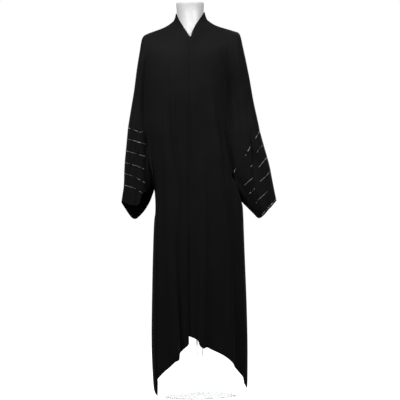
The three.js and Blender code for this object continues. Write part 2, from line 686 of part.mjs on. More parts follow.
const kaftan = new THREE.Group();
kaftan.add(
  clothPiece('neck_band', 'cloth'),
  clothPiece('front_right', 'cloth'),
  leftFront(),
  clothPiece('back', 'cloth'),
  clothPiece('sleeve_left', 'band_cloth'),
  clothPiece('sleeve_right', 'band_cloth'),
  dressForm(),
  turned('stand_pole', [
    [0, BASE_HEIGHT + REST_SPLIT],
    [POLE_RADIUS, BASE_HEIGHT + REST_SPLIT],
    [POLE_RADIUS, FORM_FLOOR_Z - REST_SPLIT],
    [0, FORM_FLOOR_Z - REST_SPLIT],
  ], 24),
  turned('stand_base', [
    [0, 0],
    [BASE_RADIUS, 0],
    [BASE_RADIUS, BASE_HEIGHT - BASE_BEVEL],
    [BASE_RADIUS - BASE_BEVEL, BASE_HEIGHT],
    [0, BASE_HEIGHT],
  ], 48),
);

export default kaftan;
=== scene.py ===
import math
import random

import bmesh
import bpy
from mathutils import Matrix, Vector
from mathutils.bvhtree import BVHTree


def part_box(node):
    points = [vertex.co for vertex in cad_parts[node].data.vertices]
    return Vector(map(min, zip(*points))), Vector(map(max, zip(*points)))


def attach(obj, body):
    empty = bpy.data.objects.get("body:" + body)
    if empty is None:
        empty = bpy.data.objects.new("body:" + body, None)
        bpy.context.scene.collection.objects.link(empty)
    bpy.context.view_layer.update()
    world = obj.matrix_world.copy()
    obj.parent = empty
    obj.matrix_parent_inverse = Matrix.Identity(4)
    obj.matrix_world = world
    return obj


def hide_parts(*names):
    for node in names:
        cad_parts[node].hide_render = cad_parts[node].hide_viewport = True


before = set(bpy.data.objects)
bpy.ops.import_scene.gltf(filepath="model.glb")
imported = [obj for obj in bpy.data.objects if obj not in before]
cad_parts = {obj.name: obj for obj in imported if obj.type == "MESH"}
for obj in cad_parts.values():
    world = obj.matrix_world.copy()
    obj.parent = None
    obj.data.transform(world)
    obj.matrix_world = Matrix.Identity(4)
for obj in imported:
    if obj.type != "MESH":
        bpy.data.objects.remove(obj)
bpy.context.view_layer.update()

# Sizes are in metres. The front faces -Y, and +X is the viewer's right.

# Panels of cloth: thickness, and the mean radius round which the weave is laid out
CLOTH = 0.0011
MEAN_RADIUS = 0.17

# A cell of a solid wall with an edge shorter than this belongs to its rim
RIM = 0.0022
SAME_POINT = 0.00002

# Fit of the smooth surface to the solid's points, and the turn past which an edge stays sharp
FIT_ROUNDS = 4
BODY_LEVELS = 2
SLEEVE_LEVELS = 3
EDGE_ANGLE = math.radians(50)

# Distance that cloth keeps from the form, and the reach within which the form is looked for
OFF_FORM = 0.0019
FORM_REACH = 0.03

# Free edges move out by this much to meet, and drape fades out over this much beside a side seam
SEAM_CLOSING = 0.0003
SEAM_CALM = 0.020
FACING_GAIN = 2.2

# How far the middle of a sleeve moves sideways from its lower to its upper end
SLEEVE_LEAN = {"sleeve_left": 0.030, "sleeve_right": -0.075}

# Edge of the lapped front, as the x and z of its upper and its lower end
LAP_EDGE = ((-0.006, 1.442), (-0.042, 0.224))
LAP_PRESS = 0.0010
LAP_REACH = 0.022
LAP_FACE_Y = -0.03

# Foot of the V, as its x and z
NECK_POINT = (-0.0060, 1.425)
NECK_POINT_WIDTH = 0.0065
NECK_POINT_DROP = 0.0050
NECK_POINT_HEIGHT = 0.020

# Creases fade out over this share of their length beyond each end, wander sideways and widen downwards
CREASE_FADE = 0.25
CREASE_WANDER = 0.004
CREASE_WANDER_WAVE = 17
CREASE_WANDER_SHIFT = 90
CREASE_TOP_WIDTH = 0.8
CREASE_WIDENING = 0.5
CREASE_REACH = 3

# Ripples: depth at the top and at the hem, and the waves across and down the cloth
RIPPLE_TOP = 0.0006
RIPPLE_HEM = 0.0018
RIPPLE_START_Z = 1.25
RIPPLE_GROWTH = 1.1
RIPPLE_WAVE_X = 61
RIPPLE_WAVE_Z = 7.1
RIPPLE_SLANT = 9
RIPPLE_SWAY = 1.7
RIPPLE_SWAY_WAVE = 4.3
RIPPLE_SWAY_START = 0.6

# Creases of the body, a row for each: the side it is on (-1 front, 1 back), the line from its upper to
# its lower end, its half width, and how far it stands out (+) or in (-)
BODY_CREASES = [
    # facing, top x, top z, foot x, foot z, width, rise
    (-1, -0.078, 1.215, -0.060, 0.560, 0.0070, 0.0050),
    (-1, -0.094, 1.190, -0.078, 0.420, 0.0100, -0.0030),
    (-1, -0.002, 1.130, 0.004, 0.620, 0.0070, 0.0026),
    (-1, -0.024, 1.060, -0.030, 0.380, 0.0110, -0.0024),
    (-1, 0.078, 1.140, 0.098, 0.960, 0.0062, 0.0050),
    (-1, 0.092, 1.030, 0.120, 0.830, 0.0062, 0.0052),
    (-1, 0.105, 1.060, 0.134, 0.700, 0.0110, -0.0034),
    (-1, 0.134, 1.050, 0.150, 0.890, 0.0062, -0.0110),
    (-1, 0.050, 0.980, 0.070, 0.330, 0.0120, -0.0026),
    (-1, 0.030, 0.760, 0.030, 0.260, 0.0090, 0.0028),
    (-1, -0.128, 1.100, -0.132, 0.300, 0.0110, -0.0032),
    (-1, -0.146, 0.960, -0.152, 0.200, 0.0090, 0.0028),
    (-1, 0.152, 0.700, 0.150, 0.160, 0.0090, 0.0026),
    (-1, -0.060, 1.410, -0.118, 1.270, 0.0090, 0.0016),
    (-1, 0.062, 1.415, 0.112, 1.290, 0.0090, 0.0016),
    (-1, 0.128, 1.380, 0.143, 1.120, 0.0120, -0.0030),
    (1, -0.120, 1.340, -0.128, 0.700, 0.0100, 0.0034),
    (1, -0.052, 1.280, -0.060, 0.300, 0.0110, -0.0034),
    (1, -0.015, 1.180, -0.022, 0.360, 0.0080, 0.0032),
    (1, 0.040, 1.300, 0.048, 0.520, 0.0100, -0.0030),
    (1, 0.074, 1.060, 0.082, 0.240, 0.0090, 0.0034),
    (1, 0.122, 1.240, 0.136, 0.600, 0.0110, -0.0034),
    (1, -0.098, 0.980, -0.104, 0.220, 0.0090, 0.0030),
    (1, 0.110, 0.640, 0.118, 0.160, 0.0090, 0.0028),
]

# Creases of the batwings and the sleeves
WING_CREASES = [
    # facing, top x, top z, foot x, foot z, width, rise
    (-1, -0.196, 1.400, -0.216, 1.130, 0.0080, 0.0030),
    (-1, -0.206, 1.250, -0.234, 0.900, 0.0090, -0.0034),
    (-1, -0.232, 1.120, -0.256, 0.830, 0.0070, 0.0030),
    (-1, -0.222, 0.960, -0.232, 0.780, 0.0075, -0.0060),
    (-1, -0.190, 1.020, -0.189, 0.860, 0.0065, -0.0050),
    (-1, -0.252, 0.930, -0.268, 0.785, 0.0080, -0.0030),
    (-1, 0.180, 1.390, 0.196, 1.080, 0.0090, 0.0034),
    (-1, 0.168, 1.260, 0.180, 0.980, 0.0100, -0.0036),
    (-1, 0.214, 1.180, 0.238, 0.960, 0.0090, -0.0040),
    (-1, 0.232, 1.030, 0.240, 0.800, 0.0080, -0.0080),
    (-1, 0.204, 0.960, 0.222, 0.760, 0.0080, 0.0040),
    (-1, 0.262, 0.980, 0.284, 0.800, 0.0090, 0.0030),
    (1, -0.200, 1.380, -0.222, 1.060, 0.0100, 0.0036),
    (1, -0.226, 1.180, -0.246, 0.800, 0.0090, -0.0040),
    (1, 0.184, 1.380, 0.206, 1.040, 0.0100, 0.0036),
    (1, 0.226, 1.140, 0.262, 0.800, 0.0100, -0.0044),
]
ALL_CREASES = BODY_CREASES + WING_CREASES

# Display form: an edge this near to its top or foot stays sharp if its faces turn by a lower cosine
FORM_END = 0.0002
FORM_SHARP = 0.8
FORM_CREASE = 0.9

# Beads: long bugle ones, and pairs of round seed ones among them
BEAD_SEED = 7
BUGLE_LENGTH = 0.0046
BUGLE_RADIUS = 0.00085
BUGLE_SIDES = 6
BUGLE_LIFT = 0.75
BUGLE_LEAN = 0.09
BUGLE_SHORTEST = 0.92
SEED_RADIUS = 0.00095
SEED_SHARE = 0.22
SEED_SHIFT = 0.26
MISSING_SHARE = 0.13
BEAD_GAP = 0.0006
BACK_RUN_LENGTH = (0.02, 0.05)
BACK_RUN_GAP = 0.012
SEAM_BEADS_IN = 0.0015
CUFF_BEADS_IN = 0.0065

# Lines of beads across the viewer's left sleeve: they fall towards the right, and droop low on it
LEFT_LINES = [0.9550, 0.9055, 0.8575, 0.8125, 0.7655]
LEFT_SLOPE = 0.33
LEFT_DROOP = 0.3
LEFT_DROOP_TOP = 0.96
LEFT_DROOP_HEIGHT = 0.1
LEFT_DROOP_X = -0.245

# Lines of beads across the viewer's right sleeve: they rise towards the right, with a step at a fold
RIGHT_LINES = [0.7305, 0.6805, 0.6305, 0.5660]
RIGHT_SLOPE = 0.84
RIGHT_STEP = 0.010
RIGHT_STEP_GROWTH = 0.27
RIGHT_STEP_FOOT = 0.88
RIGHT_STEP_X = 0.229
RIGHT_STEP_WIDTH = 0.026

# Stretches of each line that carry beads on the front of a sleeve, by place across it
LEFT_RUNS = [
    [(-0.262, -0.248), (-0.240, -0.223), (-0.217, -0.199)],
    [(-0.270, -0.191)],
    [(-0.274, -0.229), (-0.220, -0.194)],
    [(-0.284, -0.254), (-0.246, -0.198)],
    [(-0.288, -0.243), (-0.236, -0.197)],
    [(-0.290, -0.239), (-0.221, -0.204)],
]
RIGHT_RUNS = [
    [(0.150, 0.169), (0.201, 0.205), (0.212, 0.224), (0.242, 0.263)],
    [(0.222, 0.229), (0.250, 0.272)],
    [(0.194, 0.229), (0.254, 0.292)],
    [(0.214, 0.221), (0.226, 0.236), (0.256, 0.300)],
    [(0.240, 0.292)],
    [(0.262, 0.324)],
]

# Stitches, and how far in from the edge each row lies
THREAD_RADIUS = 0.00028
THREAD_SIDES = 5
THREAD_LIFT = 0.6
STITCH_LENGTH = 0.0026
STITCH_PITCH = 0.0036
EDGE_STITCHES_IN = 0.006
HEM_STITCHES_IN = 0.014
BAND_STITCHES_IN = 0.004
CUFF_STITCHES_IN = 0.012
SHORTEST_STEP = 1e-7
SAME_SIDE = 0.5

# Places that tell the edges of a panel apart
LEFT_SEAM_Z = 1.055
LEFT_CUFF_Z = 0.835
LEFT_CUFF_CORNER = (-0.179, 0.81)
RIGHT_SEAM_CORNER = (0.2655, 0.895)
RIGHT_CUFF_CORNER = (0.240, 0.785)
LAP_EDGE_CORNER = (-0.0445, 0.225)
RIGHT_HEM_CORNER = (-0.185, 0.226)
LEFT_HEM_CORNER = (-0.04, 0.26)
BACK_HEM_Z = 0.30
HEM_FACE_Y = 0.012
BAND_TOP_Z = 1.439
BAND_BACK_Y = 0.030
BAND_TOP_RADIUS = 0.083

# Weave of the crepe: repeats for each metre, and how threads, pebbles and slow changes add up
WEAVE_THREADS = 900.0
WEAVE_PEBBLE = 420.0
WEAVE_SLOW = 5.0
WEAVE_UNEVENNESS = 3.5
THREAD_DETAIL = 1.5
PEBBLE_DETAIL = 3.0
SLOW_DETAIL = 2.0
THREAD_HEIGHT = 0.3
PEBBLE_HEIGHT = 0.6
PEBBLE_TONE = 0.35
SLOW_TONE = 0.65

# Crepe: steps of its dark and light tone, change of gloss, relief, sheen and shine
CREPE_STEPS = (0.3, 0.7)
CREPE_GLOSS_CHANGE = 0.06
CREPE_RELIEF = 0.35
CREPE_DEPTH = 0.0003
CREPE_SHEEN_ROUGHNESS = 0.45
CREPE_SHINE = 0.12

# Smooth finishes: steps and share of their darker tone, change of gloss, and relief
SPECKLE_STEPS = (0.35, 0.65)
SPECKLE_DARK = 0.965
SPECKLE_GLOSS = (0.85, 1.15)
SPECKLE_DETAIL = 4.0
SPECKLE_RELIEF = 0.2
CLEAR_IOR = 1.49

# Camera, worked out from the photograph's frame of 400 pixels at 4 mm each
FRAME_WIDTH = 1.600
AIM_X = 0.018
AIM_Z = 0.790
CAMERA_DISTANCE = 9.0
CAMERA_HEIGHT = 0.90
CAMERA_REACH = 60
SENSOR_WIDTH = 36
PHOTO_ROLL = math.radians(1.6)

# Light of the white room on the object, against that of the backdrop itself
ROOM_LIGHT = 0.095
BACKDROP_LIGHT = 1.0
FLOOR_GLOW = 0.94
FLOOR_SIZE = 20
LIGHTS = [
    # name, place, target, size, power
    ("key", (-1.25, -1.45, 2.65), (0, 0, 1.35), (1.1, 1.1), 39),
    ("fill", (1.35, -1.40, 2.55), (0, 0, 1.30), (1.1, 1.1), 31),
    ("back_fill", (0.4, 2.6, 2.6), (0, 0, 1.1), (1.6, 1.2), 30),
]


def ease(t):
    """Smooth step from 0 to 1."""
    t = min(max(t, 0.0), 1.0)
    return t * t * (3 - 2 * t)


def bell(t):
    """Smooth bump of height 1 round 0."""
    return math.exp(-t * t)


def mix(a, b, t):
    return a + (b - a) * t


# Shader helpers

def node_group(name, inputs, outputs):
    group = bpy.data.node_groups.new(name, "ShaderNodeTree")
    for label, kind, value in inputs:
        socket = group.interface.new_socket(label, in_out="INPUT", socket_type=kind)
        if value is not None:
            socket.default_value = value
    for label, kind in outputs:
        group.interface.new_socket(label, in_out="OUTPUT", socket_type=kind)
    start = group.nodes.new("NodeGroupInput")
    end = group.nodes.new("NodeGroupOutput")
    return group, start, end


def feed(tree, socket, value):
    """Gives a socket a number, or links it to another node's output."""
    if isinstance(value, (int, float)):
        socket.default_value = value
    else:
        tree.links.new(value, socket)


def math_node(tree, operation, a, b):
    node = tree.nodes.new("ShaderNodeMath")
    node.operation = operation
    feed(tree, node.inputs[0], a)
    feed(tree, node.inputs[1], b)
    return node.outputs[0]


def noise_value(tree, place, scale, detail):
    noise = tree.nodes.new("ShaderNodeTexNoise")
    noise.inputs["Detail"].default_value = detail
    feed(tree, noise.inputs["Vector"], place)
    feed(tree, noise.inputs["Scale"], scale)
    return noise.outputs["Fac"]


def value_between(tree, amount, low, high):
    """Value that goes from low to high as the amount goes from 0 to 1."""
    change = tree.nodes.new("ShaderNodeMapRange")
    change.inputs["To Min"].default_value = low
    change.inputs["To Max"].default_value = high
    feed(tree, change.inputs["Value"], amount)
    return change.outputs["Result"]


def tone_between(tree, amount, dark, light, steps):
    """Colour that goes from dark to light between two steps of the amount."""
    tone = tree.nodes.new("ShaderNodeValToRGB")
    for element, step, colour in zip(tone.color_ramp.elements, steps, (dark, light)):
        element.position = step
        element.color = (*colour, 1)
    feed(tree, tone.inputs["Fac"], amount)
    return tone.outputs["Color"]


def bumped(tree, height, strength, distance):
    bump = tree.nodes.new("ShaderNodeBump")
    bump.inputs["Strength"].default_value = strength
    bump.inputs["Distance"].default_value = distance
    feed(tree, bump.inputs["Height"], height)
    return bump.outputs["Normal"]


def crepe_group():
    """Pebbled crepe weave: height of fine threads and pebbles, and a slow change of tone."""
    group, start, end = node_group(
        "crepe_weave",
        [
            ("Vector", "NodeSocketVector", None),
            ("Threads", "NodeSocketFloat", WEAVE_THREADS),
            ("Pebble", "NodeSocketFloat", WEAVE_PEBBLE),
        ],
        [("Height", "NodeSocketFloat"), ("Tone", "NodeSocketFloat")],
    )
    place = start.outputs["Vector"]
    heights = []
    for direction in ("X", "Y"):
        wave = group.nodes.new("ShaderNodeTexWave")
        wave.wave_type = "BANDS"
        wave.bands_direction = direction
        wave.inputs["Distortion"].default_value = WEAVE_UNEVENNESS
        wave.inputs["Detail"].default_value = THREAD_DETAIL
        feed(group, wave.inputs["Vector"], place)
        feed(group, wave.inputs["Scale"], start.outputs["Threads"])
        heights.append(wave.outputs["Fac"])
    pebble = noise_value(group, place, start.outputs["Pebble"], PEBBLE_DETAIL)
    slow = noise_value(group, place, WEAVE_SLOW, SLOW_DETAIL)
    woven = math_node(group, "MULTIPLY", math_node(group, "ADD", *heights), THREAD_HEIGHT)
    pebbled = math_node(group, "MULTIPLY", pebble, PEBBLE_HEIGHT)
    fine_tone = math_node(group, "MULTIPLY", pebble, PEBBLE_TONE)
    slow_tone = math_node(group, "MULTIPLY", slow, SLOW_TONE)
    feed(group, end.inputs["Height"], math_node(group, "ADD", woven, pebbled))
    feed(group, end.inputs["Tone"], math_node(group, "ADD", fine_tone, slow_tone))
    return group


def new_material(name):
    material = bpy.data.materials.new(name)
    material.use_nodes = True
    tree = material.node_tree
    return material, tree, tree.nodes["Principled BSDF"]


def cloth_material(name, crepe, dark, light, sheen, roughness):
    """Matte crepe with a soft sheen; dark and light are the ends of its change of tone."""
    material, tree, shader = new_material(name)
    where = tree.nodes.new("ShaderNodeUVMap")
    where.uv_map = "cloth"
    weave = tree.nodes.new("ShaderNodeGroup")
    weave.node_tree = crepe
    feed(tree, weave.inputs["Vector"], where.outputs["UV"])
    change = weave.outputs["Tone"]
    colour = tone_between(tree, change, dark, light, CREPE_STEPS)
    gloss = value_between(tree, change, roughness - CREPE_GLOSS_CHANGE, roughness + CREPE_GLOSS_CHANGE)
    relief = bumped(tree, weave.outputs["Height"], CREPE_RELIEF, CREPE_DEPTH)
    feed(tree, shader.inputs["Base Color"], colour)
    feed(tree, shader.inputs["Roughness"], gloss)
    feed(tree, shader.inputs["Normal"], relief)
    shader.inputs["Sheen Weight"].default_value = sheen
    shader.inputs["Sheen Roughness"].default_value = CREPE_SHEEN_ROUGHNESS
    shader.inputs["Specular IOR Level"].default_value = CREPE_SHINE
    return material


def speckled_material(name, colour, roughness, metallic, grain, depth, coat):
    """Smooth moulded or plated finish with a faint change of tone and gloss."""
    material, tree, shader = new_material(name)
    where = tree.nodes.new("ShaderNodeTexCoord")
    speckle = noise_value(tree, where.outputs["Object"], grain, SPECKLE_DETAIL)
    darker = [c * SPECKLE_DARK for c in colour]
    least, most = (roughness * share for share in SPECKLE_GLOSS)
    feed(tree, shader.inputs["Base Color"], tone_between(tree, speckle, darker, colour, SPECKLE_STEPS))
    feed(tree, shader.inputs["Roughness"], value_between(tree, speckle, least, most))
    feed(tree, shader.inputs["Normal"], bumped(tree, speckle, SPECKLE_RELIEF, depth))
    shader.inputs["Metallic"].default_value = metallic
    shader.inputs["Coat Weight"].default_value = coat
    return material


# Drape of the cloth

def crease_offset(place, facing, creases):
    """How far the cloth stands out at a place because of the creases on that side."""
    total = 0.0
    for side, top_x, top_z, foot_x, foot_z, width, rise in creases:
        if side != facing:
            continue
        down = (top_z - place.z) / (top_z - foot_z)
        if not -CREASE_FADE < down < 1 + CREASE_FADE:
            continue
        wander = CREASE_WANDER * math.sin(place.z * CREASE_WANDER_WAVE + top_x * CREASE_WANDER_SHIFT)
        half_width = width * (CREASE_TOP_WIDTH + CREASE_WIDENING * max(down, 0.0))
        across = (place.x - mix(top_x, foot_x, down) - wander) / half_width
        if abs(across) > CREASE_REACH:
            continue
        fade_in = ease((down + CREASE_FADE) / CREASE_FADE)
        fade_out = ease((1 + CREASE_FADE - down) / CREASE_FADE)
        total += rise * fade_in * fade_out * bell(across)
    return total


def ripple(place):
    """Slow uneven waves of hanging cloth, stronger towards the hem."""
    low = ease((RIPPLE_START_Z - place.z) / RIPPLE_GROWTH)
    sway = RIPPLE_SWAY * math.sin(place.z * RIPPLE_SWAY_WAVE + RIPPLE_SWAY_START)
    across = math.sin(place.x * RIPPLE_WAVE_X + sway)
    down = math.sin(place.z * RIPPLE_WAVE_Z + place.x * RIPPLE_SLANT)
    return across * down * mix(RIPPLE_TOP, RIPPLE_HEM, low)


# Cloth from the solids

def loose_copy(node):
    """The solid's mesh with its doubled points merged."""
    bm = bmesh.new()
    bm.from_mesh(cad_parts[node].data)
    bmesh.ops.remove_doubles(bm, verts=bm.verts, dist=SAME_POINT)
    return bm


def pair_triangles(bm):
    """Joins the triangles of a mesh into four-sided cells."""
    bmesh.ops.join_triangles(
        bm, faces=bm.faces, angle_face_threshold=math.pi, angle_shape_threshold=math.pi,
        topology_influence=1.0)


def islands_of(bm):
    """Groups of faces that hang together, the largest first."""
    islands = []
    seen = set()
    for face in bm.faces:
        if face in seen:
            continue
        island = []
        queue = [face]
        seen.add(face)
        while queue:
            member = queue.pop()
            island.append(member)
            for edge in member.edges:
                for other in edge.link_faces:
                    if other not in seen:
                        seen.add(other)
                        queue.append(other)
        islands.append(island)
    return sorted(islands, key=len, reverse=True)


def outer_face(node):
    """Outer face of a solid wall, as one open sheet of four-sided cells."""
    bm = loose_copy(node)
    rim = [face for face in bm.faces if min(edge.calc_length() for edge in face.edges) < RIM]
    bmesh.ops.delete(bm, geom=rim, context="FACES")
    hub = middle_of(node)

    def looks_out(island):
        total = 0.0
        for face in island:
            middle = face.calc_center_median()
            total += (middle - hub(middle)).dot(face.normal) * face.calc_area()
        return total

    islands = islands_of(bm)
    keep = max(islands[:2], key=looks_out)
    drop = [face for island in islands if island is not keep for face in island]
    bmesh.ops.delete(bm, geom=drop, context="FACES")
    pair_triangles(bm)
    return bm


def upright_middle(place):
    """The point of the body's middle line at the height of a place."""
    return Vector((0.0, 0.0, place.z))


def middle_of(node):
    """A line through the middle of the tube that a piece belongs to."""
    if node not in SLEEVE_LEAN:
        return upright_middle
    low, high = (Vector(corner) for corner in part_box(node))
    lean = SLEEVE_LEAN[node] / (high.z - low.z)
    centre = (low + high) / 2
    return lambda p: Vector((centre.x + lean * (p.z - centre.z), 0.0, p.z))


def make_object(name, bm, *materials):
    mesh = bpy.data.meshes.new(name)
    bm.to_mesh(mesh)
    bm.free()
    obj = bpy.data.objects.new(name, mesh)
    bpy.context.scene.collection.objects.link(obj)
    for material in materials:
        mesh.materials.append(material)
    return obj


def freeze(obj):
    """Replaces the object's mesh by what its modifiers make of it."""
    graph = bpy.context.evaluated_depsgraph_get()
    mesh = bpy.data.meshes.new_from_object(obj.evaluated_get(graph))
    obj.modifiers.clear()
    obj.data = mesh


def shade_smooth(obj):
    for face in obj.data.polygons:
        face.use_smooth = True


def fit_smooth(obj, levels):
    """Subdivides a sheet so that the smooth surface still passes through the solid's own points."""
    smooth = obj.modifiers.new("smooth", "SUBSURF")
    smooth.levels = levels
    smooth.render_levels = levels
    smooth.boundary_smooth = "PRESERVE_CORNERS"
    goals = [v.co.copy() for v in obj.data.vertices]
    for _ in range(FIT_ROUNDS):
        graph = bpy.context.evaluated_depsgraph_get()
        shaped = obj.evaluated_get(graph).data
        gaps = [goal - shaped.vertices[i].co for i, goal in enumerate(goals)]
        for v, gap in zip(obj.data.vertices, gaps):
            v.co += gap
        obj.data.update()
        obj.update_tag()
        bpy.context.view_layer.update()
    freeze(obj)


def keep_off(bm, body, clear):
    """Moves points of a sheet out to a clear distance from the smooth solid inside it."""
    for v in bm.verts:
        near, normal, _, _ = body.find_nearest(v.co, FORM_REACH)
        if near is not None:
            depth = (v.co - near).dot(normal)
            if depth < clear:
                v.co += normal * (clear - depth)


def lay_out(obj, hub):
    """UV map in metres: round the body or the sleeve, and down it."""
    mesh = obj.data
    layer = mesh.uv_layers.get("cloth") or mesh.uv_layers.new(name="cloth")

    def angle(place):
        spoke = place - hub(place)
        return math.atan2(spoke.x, -spoke.y)

    for face in mesh.polygons:
        middle = angle(face.center)
        for k in face.loop_indices:
            place = mesh.vertices[mesh.loops[k].vertex_index].co
            turn = angle(place)
            turn += math.tau * round((middle - turn) / math.tau)
            layer.data[k].uv = (turn * MEAN_RADIUS, place.z)


def close_seams(bm):
    """Moves the free edges out by the small gap that the solids keep between them."""
    moves = {}
    for edge in bm.edges:
        if edge.is_boundary:
            face = edge.link_faces[0]
            run = (edge.verts[1].co - edge.verts[0].co).normalized()
            out = run.cross(face.normal)
            if out.dot(face.calc_center_median() - edge.verts[0].co) > 0:
                out.negate()
            for v in edge.verts:
                moves[v] = moves.get(v, Vector()) + out
    for v, out in moves.items():
        v.co += out.normalized() * SEAM_CLOSING


def drape(bm, creases):
    """Lifts the creases and ripples, which fade out beside the side seams."""
    moves = {}
    for v in bm.verts:
        facing = 1 if v.normal.y > 0 else -1
        strength = ease(abs(v.normal.y) * FACING_GAIN) * ease(abs(v.co.y) / SEAM_CALM)
        out = crease_offset(v.co, facing, creases) + ripple(v.co)
        moves[v] = v.normal * (out * strength)
    for v, move in moves.items():
        v.co += move


def press_lap(bm):
    """Lays the upper panel's edge down on the panel under it."""
    (top_x, top_z), (foot_x, foot_z) = LAP_EDGE
    for v in bm.verts:
        down = min(max((top_z - v.co.z) / (top_z - foot_z), 0.0), 1.0)
        near = ease(1 - (mix(top_x, foot_x, down) - v.co.x) / LAP_REACH)
        if v.co.y < LAP_FACE_Y and near > 0:
            v.co -= v.normal * LAP_PRESS * near


def point_neck(bm):
    """Draws the foot of the V down to a point."""
    middle, foot = NECK_POINT
    for v in bm.verts:
        if v.co.y < 0:
            near = bell((v.co.x - middle) / NECK_POINT_WIDTH)
            v.co.z -= NECK_POINT_DROP * near * ease((v.co.z - foot) / NECK_POINT_HEIGHT)


def cloth_piece(node, material, levels, creases):
    """A panel of cloth on the form of its solid, subdivided, creased and given its thickness, its cut rim
    in the darker thread crepe as painted shade.
    """
    obj = make_object("kaftan_" + node, outer_face(node), material, THREAD_AND_RIM_SHADE)
    fit_smooth(obj, levels)
    bm = bmesh.new()
    bm.from_mesh(obj.data)
    bm.normal_update()
    drape(bm, creases)
    if node == "front_right":
        press_lap(bm)
    if node == "neck_band":
        point_neck(bm)
    close_seams(bm)
    keep_off(bm, FORM_TREE, OFF_FORM)
    bm.to_mesh(obj.data)
    bm.free()
    lay_out(obj, middle_of(node))
    FACES[node] = obj.data.copy()
    wall = obj.modifiers.new("wall", "SOLIDIFY")
    wall.thickness = CLOTH
    wall.offset = -1.0
    wall.use_even_offset = False
    # The rim takes the second material, the darker thread crepe: painted shade that keeps the cut edge
    # from showing as a bright line of light.
    wall.material_offset_rim = 1
    freeze(obj)
    shade_smooth(obj)
    obj.data.set_sharp_from_angle(angle=EDGE_ANGLE)
    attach(obj, "root")
    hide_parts(node)
    return obj


# Materials
crepe = crepe_group()
BODY_CREPE = cloth_material(
    "black_crepe", crepe, dark=(0.0050, 0.0048, 0.0053), light=(0.0090, 0.0086, 0.0097),
    sheen=0.05, roughness=0.78)
BAND_CREPE = cloth_material(
    "sleeve_crepe", crepe, dark=(0.0052, 0.0052, 0.0054), light=(0.0090, 0.0090, 0.0093),
    sheen=0.05, roughness=0.76)
# Dark thread for the stitches, also laid on the panels' cut rims as painted shade.
THREAD_AND_RIM_SHADE = cloth_material(
    "black_thread_and_rim_shade", crepe, dark=(0.0040, 0.0038, 0.0044), light=(0.0060, 0.0057, 0.0064),
    sheen=0.0, roughness=0.85)
SILVER = speckled_material(
    "silver_beads", (0.74, 0.75, 0.77), roughness=0.34, metallic=1.0, grain=400.0, depth=0.0001, coat=0.0)
FORM_WHITE = speckled_material(
    "form_gloss", (0.80, 0.80, 0.80), roughness=0.46, metallic=0.0, grain=60.0, depth=0.0001, coat=0.08)
STAND_CLEAR = speckled_material(
    "stand_acrylic", (0.96, 0.98, 0.98), roughness=0.03, metallic=0.0, grain=30.0, depth=0.00002, coat=0.0)
CLEAR_SHADER = STAND_CLEAR.node_tree.nodes["Principled BSDF"]
CLEAR_SHADER.inputs["Transmission Weight"].default_value = 1.0
CLEAR_SHADER.inputs["IOR"].default_value = CLEAR_IOR


# Display form

def smooth_form():
    """The display form as a smooth shell over its solid, sharp round its two end faces."""
    bm = loose_copy("dress_form")
    pair_triangles(bm)
    low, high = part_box("dress_form")
    crease = bm.edges.layers.float.new("crease_edge")
    for edge in bm.edges:
        for level in (low[2], high[2]):
            on_end = all(abs(v.co.z - level) < FORM_END for v in edge.verts)
            if on_end and len(edge.link_faces) == 2:
                one, other = edge.link_faces
                if one.normal.dot(other.normal) < FORM_SHARP:
                    edge[crease] = FORM_CREASE
    obj = make_object("display_form", bm, FORM_WHITE)
    fit_smooth(obj, BODY_LEVELS)
    shade_smooth(obj)
    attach(obj, "root")
    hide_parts("dress_form")
    return obj


def tree_of(mesh):
    """A mesh's surface, ready to be searched for its nearest point."""
    bm = bmesh.new()
    bm.from_mesh(mesh)
    bm.normal_update()
    tree = BVHTree.FromBMesh(bm)
    bm.free()
    return tree


display_form = smooth_form()
FORM_TREE = tree_of(display_form.data)

# Panels of cloth, with the open outer face of each kept by its node for beads and stitches
FACES = {}
front_right = cloth_piece("front_right", BODY_CREPE, BODY_LEVELS, ALL_CREASES)
front_left = cloth_piece("front_left", BODY_CREPE, BODY_LEVELS, ALL_CREASES)
back = cloth_piece("back", BODY_CREPE, BODY_LEVELS, ALL_CREASES)
sleeve_left = cloth_piece("sleeve_left", BAND_CREPE, SLEEVE_LEVELS, WING_CREASES)
sleeve_right = cloth_piece("sleeve_right", BAND_CREPE, SLEEVE_LEVELS, WING_CREASES)
neck_band = cloth_piece("neck_band", BODY_CREPE, BODY_LEVELS, [])


# Paths on the cloth

def open_face(node):
    """The outer face of a piece of cloth as it hangs, as a mesh to measure on."""
    bm = bmesh.new()
    bm.from_mesh(FACES[node])
    bm.verts.ensure_lookup_table()
    bm.verts.index_update()
    bm.edges.index_update()
    bm.normal_update()
    return bm


def chain(links):
    """Ordered runs of keys from pairs of neighbours, the longest first."""
    near = {}
    for a, b in links:
        near.setdefault(a, []).append(b)
        near.setdefault(b, []).append(a)
    runs = []
    unused = set(near)
    while unused:
        ends = [k for k in unused if len(near[k]) == 1]
        start = min(ends or unused)
        run = [start]
        unused.discard(start)
        while True:
            onward = [k for k in near[run[-1]] if k in unused]
            if not onward:
                break
            run.append(onward[0])
            unused.discard(onward[0])
        runs.append(run)
    return sorted(runs, key=len, reverse=True)


def contour(bm, field, level):
    """The longest line on a sheet along which the field has the level, as places with their normals."""
    heights = [field(v.co) - level for v in bm.verts]
    crossing = {}
    for edge in bm.edges:
        a, b = (heights[v.index] for v in edge.verts)
        if (a < 0) != (b < 0):
            t = a / (a - b)
            one, other = edge.verts
            normal = one.normal.lerp(other.normal, t).normalized()
            crossing[edge.index] = (one.co.lerp(other.co, t), normal)
    links = []
    for face in bm.faces:
        cut = [edge.index for edge in face.edges if edge.index in crossing]
        if len(cut) == 2:
            links.append(cut)
    return [crossing[k] for k in chain(links)[0]]


def border(bm, test):
    """The longest stretch of a sheet's free edge whose places pass the test."""
    links = []
    for edge in bm.edges:
        one, other = edge.verts
        if edge.is_boundary and test(one.co) and test(other.co):
            links.append((one.index, other.index))
    return [(bm.verts[k].co.copy(), bm.verts[k].normal.copy()) for k in chain(links)[0]]


